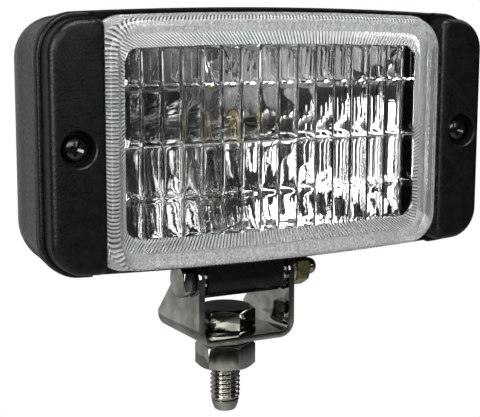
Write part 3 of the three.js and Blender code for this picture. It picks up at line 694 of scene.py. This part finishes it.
def make_bracket():
    """A strip bent into a U, with ears that slope back from a round top."""
    half_w, half_d = BRACKET_HIGH.x, BRACKET_HIGH.y
    thick, outer_r, rear_height, past = 2 * MM, 5 * MM, 6 * MM, MM
    pin_r, stud_r = 3.25 * MM, 5.2 * MM
    inner_r = outer_r - thick
    top = BRACKET_HIGH.z + past
    outer_x, inner_x = half_w, half_w - thick
    strip = [(-outer_x, top)] + arc(-outer_x + outer_r, outer_r, outer_r, 180, 270, 16)
    strip += arc(outer_x - outer_r, outer_r, outer_r, 270, 360, 16) + [(outer_x, top), (inner_x, top)]
    strip += arc(inner_x - inner_r, outer_r, inner_r, 0, -90, 12)
    strip += arc(-inner_x + inner_r, outer_r, inner_r, -90, -180, 12) + [(-inner_x, top)]
    bracket = prism("bracket_strip", strip, "y", -half_d, half_d)
    ear_r = half_d + PIVOT.y
    rear = Vector((half_d - PIVOT.y, rear_height - PIVOT.z))
    tangent = math.degrees(math.atan2(rear.y, rear.x) + math.acos(ear_r / rear.length))
    ear = [(-half_d, -past), (half_d, -past), (half_d, rear_height)]
    ear += arc(PIVOT.y, PIVOT.z, ear_r, tangent, 180, 32)
    boolean(bracket, prism("ears", ear, "x", -half_w - past, half_w + past), "INTERSECT")
    boolean(bracket, turned("pin", [(pin_r, -THROUGH), (pin_r, THROUGH)], "x", PIVOT_AXIS, 48), "DIFFERENCE")
    boolean(bracket, turned("stud", [(stud_r, -THROUGH), (stud_r, THROUGH)], "z", ORIGIN, 64), "DIFFERENCE")
    bevel(bracket, 0.35 * MM, 3, 40)
    return finish_piece(bracket, "bracket", STAINLESS, "stainless", "u_bracket")


def hex_body(name, flats, height, both_ends, turn):
    """A hexagon along +Z from 0 to its height, with its corners turned down."""
    corner = 1.01 * flats / math.sqrt(3)
    face_r = 0.95 * flats / 2
    rise = math.tan(math.radians(30))
    slope, past = (corner - face_r) * rise, 0.5 * MM
    body = prism(name, hexagon(flats, turn), "z", 0, height)
    low = [(face_r - past / rise, -past), (corner, slope)] if both_ends else [(corner, -past)]
    high = [(corner, height - slope), (face_r - past / rise, height + past)]
    boolean(body, turned("limit", low + high, "z", ORIGIN, 96), "INTERSECT")
    return bevel(body, 0.18 * MM, 2, 25)


def threaded_rod(name, radius, pitch, depth, start, end, tip):
    """A rod along +Z from start to end with one helical thread, and a domed tip at its end."""
    sides, per_turn, fade_turns, core_share = 48, 10, 1.2, 0.55
    angles = [2 * math.pi * j / sides for j in range(sides)]
    rows = round((end - start) / pitch * per_turn)
    rings = []
    for i in range(rows + 1):
        z = start + (end - start) * i / rows
        fade = min((end - z) / (fade_turns * pitch), 1)
        ring = []
        for j, angle in enumerate(angles):
            phase = (z / pitch - j / sides) % 1
            groove = 0.5 + 0.5 * math.cos(2 * math.pi * phase)
            r = radius - depth * (groove ** 0.8 * fade + core_share * (1 - fade))
            ring.append((r * math.cos(angle), r * math.sin(angle), z))
        rings.append(ring)
    core = radius - core_share * depth
    for r_share, z_share in ((0.99, 0.15), (0.93, 0.45), (0.84, 0.75), (0.76, 0.93), (0.66, 1.0)):
        rings.append([(core * r_share * math.cos(a), core * r_share * math.sin(a), end + tip * z_share)
                      for a in angles])
    return loft(name, rings)


AXIS_INDEX = {"x": 0, "z": 2}
HEX_TURN = {"z": 30, "x": 0}  # hexagon corners point along Y on the stud and along Z on the pivot
M10 = dict(flats=17 * MM, radius=4.9 * MM, pitch=1.5 * MM, depth=0.75 * MM, head_h=6.4 * MM, tip=3.6 * MM,
           bore=5.0 * MM)
M6 = dict(flats=10 * MM, radius=2.95 * MM, pitch=1.0 * MM, depth=0.5 * MM, head_h=4 * MM, tip=1.4 * MM,
          bore=3.05 * MM)


def make_bolt(name, node, body, axis, size, material, slot):
    """A hex bolt whose head's seat lies at the CAD bolt's own seat."""
    low, high, _ = node_box(node)
    length = (high - low)[AXIS_INDEX[axis]]
    head_h, tip = size["head_h"], size["tip"]
    head = hex_body(name, size["flats"], head_h, False, HEX_TURN[axis])
    rod = threaded_rod("rod", size["radius"], size["pitch"], size["depth"], -head_h * 0.5,
                       length - head_h - tip, tip)
    rod.data.transform(Matrix.Rotation(math.pi, 4, "X"))
    boolean(head, rod, "UNION")
    if axis == "z":
        turn_to_axis(head, "z", Vector((0, 0, high.z - head_h)))
    else:
        turn_to_axis(head, "-x", Vector((low.x + head_h, PIVOT.y, PIVOT.z)))
    smooth_by_angle(head, 38)
    return finish_piece(head, body, material, slot, node)


def make_nut(name, node, body, axis, size, material, slot):
    """A hex nut, turned down at both ends, with a countersunk plain bore."""
    low, high, _ = node_box(node)
    height = (high - low)[AXIS_INDEX[axis]]
    bore, sink = size["bore"], size["bore"] * 0.12
    nut = hex_body(name, size["flats"], height, True, HEX_TURN[axis])
    hole = turned("hole", [(bore * 1.12, -MM), (bore * 1.12, 0), (bore, sink), (bore, height - sink),
                           (bore * 1.12, height), (bore * 1.12, height + MM)], "z", ORIGIN, 64)
    boolean(nut, hole, "DIFFERENCE")
    start = Vector((0, 0, low.z)) if axis == "z" else Vector((low.x, PIVOT.y, PIVOT.z))
    turn_to_axis(nut, axis, start)
    smooth_by_angle(nut, 38)
    return finish_piece(nut, body, material, slot, node)


# ---- Reflector ----

def make_reflector():
    """A paraboloid cut by flat top and bottom walls, with a flange in front and a bulb neck behind."""
    focus, vertex, wall = 21 * MM, 4 * MM, 1.4 * MM
    half_w, half_h, corner = 51.2 * MM, 32 * MM, 6 * MM
    hole_r, reach_r, neck_r, steps = 6.6 * MM, 62 * MM, 9.8 * MM, 26
    flange_x, flange_z = 1.045, 1.06
    rim = crowned(-half_w, half_w, half_h, corner, corner, 10, 30)
    front = MIRROR_LOW.y

    def skin(offset):
        """Rings from the neck out to the rim; past the flat walls a ring follows them forward."""
        rings = []
        for i in range(steps + 1):
            reach = hole_r + (reach_r - hole_r) * i / steps
            ring = []
            for x, z in rim:
                length = math.hypot(x, z)
                r = min(reach, length)
                y = vertex - reach * reach / (4 * focus)
                scale = (r + (offset if reach > length else offset * 0.6)) / length
                ring.append((x * scale, max(y + offset * 0.8, front), HEAD_Z + z * scale))
            rings.append(ring)
        return rings
    inside, outside = skin(0), skin(wall)
    flange = [[(x * flange_x, y, HEAD_Z + (z - HEAD_Z) * flange_z) for x, _, z in inside[-1]]
              for y in (front, front + wall)]
    neck = []
    for r, y in ((neck_r, vertex + 0.5 * MM), (neck_r, MIRROR_HIGH.y), (hole_r, MIRROR_HIGH.y)):
        neck.append([(x / math.hypot(x, z) * r, y, HEAD_Z + z / math.hypot(x, z) * r) for x, z in rim])
    mirror = loft("mirror_bowl", inside + flange + outside[:2:-1] + neck, closed=True)
    smooth_by_angle(mirror, 35)
    return finish_piece(mirror, "head", MIRROR, "mirror_coating", "reflector")


make_housing()
for side, word in ((-1, "left"), (1, "right")):
    make_cap(side, word)
    make_screw(word)
make_lens()
make_reflector()
make_bracket()
make_bolt("mounting_bolt_detail", "mounting_bolt", "mounting", "z", M10, STAINLESS, "stainless")
make_bolt("pivot_bolt_detail", "pivot_bolt", "bracket", "x", M6, STAINLESS, "stainless")
make_nut("mounting_nut_detail", "mounting_nut", "mounting", "z", M10, STAINLESS, "stainless")
make_nut("pivot_nut_detail", "pivot_nut", "bracket", "x", M6, YELLOW_ZINC, "yellow_zinc")


# ---- CAD nodes that stay, with their materials ----

KEPT = {
    "mounting_lock_washer": BRIGHT, "pivot_lock_washer": BRIGHT, "left_tooth_washer": BRIGHT,
    "right_tooth_washer": BRIGHT, "pivot_sleeve": BRIGHT, "lens_gasket": RUBBER, "bulb_glass": QUARTZ,
    "bulb_filament": TUNGSTEN, "bulb_base": BRASS, "bulb_clip": BRIGHT, "bulb_lead": RUBBER,
    "cable_grommet": RUBBER,
}
for name, material in KEPT.items():
    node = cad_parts[name]
    for slot in node.material_slots:
        slot.material = material


# ---- Camera ----

CAMERA_AZIMUTH, CAMERA_ELEVATION, CAMERA_ROLL = 28.8, 9.0, 0.2  # degrees
CAMERA_DISTANCE, CAMERA_TARGET = 0.3693, Vector((-0.0029, -0.015, 0.0427))
SENSOR_MM, LENS_MM = 36, 90


def make_camera():
    """The photograph's view: from the lamp's left and a little above."""
    azimuth, elevation, roll = (math.radians(v) for v in (CAMERA_AZIMUTH, CAMERA_ELEVATION, CAMERA_ROLL))
    forward = Vector((math.cos(elevation) * math.sin(azimuth), math.cos(elevation) * math.cos(azimuth),
                      -math.sin(elevation)))
    aim = forward.to_track_quat("-Z", "Y")
    data = bpy.data.cameras.new("camera")
    data.sensor_width = SENSOR_MM
    data.lens = LENS_MM
    camera = bpy.data.objects.new("camera", data)
    camera.rotation_mode = "QUATERNION"
    camera.rotation_quaternion = aim @ Matrix.Rotation(roll, 3, "Z").to_quaternion()
    camera.location = CAMERA_TARGET - forward * CAMERA_DISTANCE
    bpy.context.scene.collection.objects.link(camera)
    bpy.context.scene.camera = camera


# ---- Studio ----

LAMP_MIDDLE = Vector((0, -0.02, 0.055))
PANEL_GAIN = 4  # watts per square metre of panel for each unit of radiance
WORLD_STRENGTH = 0.04
FLOOR_HALF, FLOOR_DROP, FLOOR_GREY = 6, 0.35, 0.42  # metres, metres below the lamp, base colour
# name; azimuth from the front towards +X and elevation in degrees; distance, width and height in metres;
# radiance
PANELS = (
    ("camera_side_softbox", -36, 23, 0.9, 1.2, 0.40, 3.2),
    ("left_strip", -72, 14, 0.8, 0.36, 0.7, 6.0),
    ("front_panel", 18, 16, 1.1, 0.22, 0.6, 2.4),
    ("backdrop_left", -160, 8, 1.2, 1.3, 1.3, 0.34),
    ("back_fill", 100, 40, 1.2, 0.6, 0.6, 1.2),
    ("top_panel", -10, 66, 0.85, 0.7, 0.4, 8.5),
)


def area_light(name, azimuth, elevation, reach, size_x, size_y, radiance):
    """A rectangular panel aimed at the lamp, set by direction and distance, hidden from the camera."""
    turn, rise = math.radians(azimuth), math.radians(elevation)
    direction = Vector((math.sin(turn) * math.cos(rise), -math.cos(turn) * math.cos(rise), math.sin(rise)))
    data = bpy.data.lights.new(name, "AREA")
    data.shape = "RECTANGLE"
    data.size, data.size_y = size_x, size_y
    data.energy = PANEL_GAIN * radiance * size_x * size_y
    light = bpy.data.objects.new(name, data)
    light.visible_camera = False
    light.location = LAMP_MIDDLE + direction * reach
    light.rotation_mode = "QUATERNION"
    light.rotation_quaternion = (-direction).to_track_quat("-Z", "Y")
    bpy.context.scene.collection.objects.link(light)


def seen_white(tree, background):
    """The camera sees the world as plain white; everything else is lit by its background."""
    nodes, links = tree.nodes, tree.links
    path = nodes.new("ShaderNodeLightPath")
    plain = nodes.new("ShaderNodeEmission")
    plain.inputs["Strength"].default_value = 1.0
    mix = nodes.new("ShaderNodeMixShader")
    links.new(path.outputs["Is Camera Ray"], mix.inputs["Fac"])
    links.new(background.outputs["Background"], mix.inputs[1])
    links.new(plain.outputs["Emission"], mix.inputs[2])
    links.new(mix.outputs["Shader"], nodes["World Output"].inputs["Surface"])


def make_studio():
    """A dim white world, a pale floor far below that the camera looks past, and the panels."""
    world = bpy.data.worlds.new("studio")
    world.use_nodes = True
    background = world.node_tree.nodes["Background"]
    background.inputs["Color"].default_value = (1, 1, 1, 1)
    background.inputs["Strength"].default_value = WORLD_STRENGTH
    seen_white(world.node_tree, background)
    bpy.context.scene.world = world
    floor_z = cad_low.z - FLOOR_DROP
    corners = rectangle(-FLOOR_HALF, FLOOR_HALF, -FLOOR_HALF, FLOOR_HALF)
    floor = new_object("floor", [(x, y, floor_z) for x, y in corners], [(0, 1, 2, 3)])
    pale = new_material("pale_floor", Base_Color=(FLOOR_GREY, FLOOR_GREY, FLOOR_GREY, 1), Roughness=0.9)
    floor.data.materials.append(pale)
    floor.visible_camera = False
    for panel in PANELS:
        area_light(*panel)
    view = bpy.context.scene.view_settings
    view.view_transform = "Standard"
    view.look = "None"


make_camera()
make_studio()
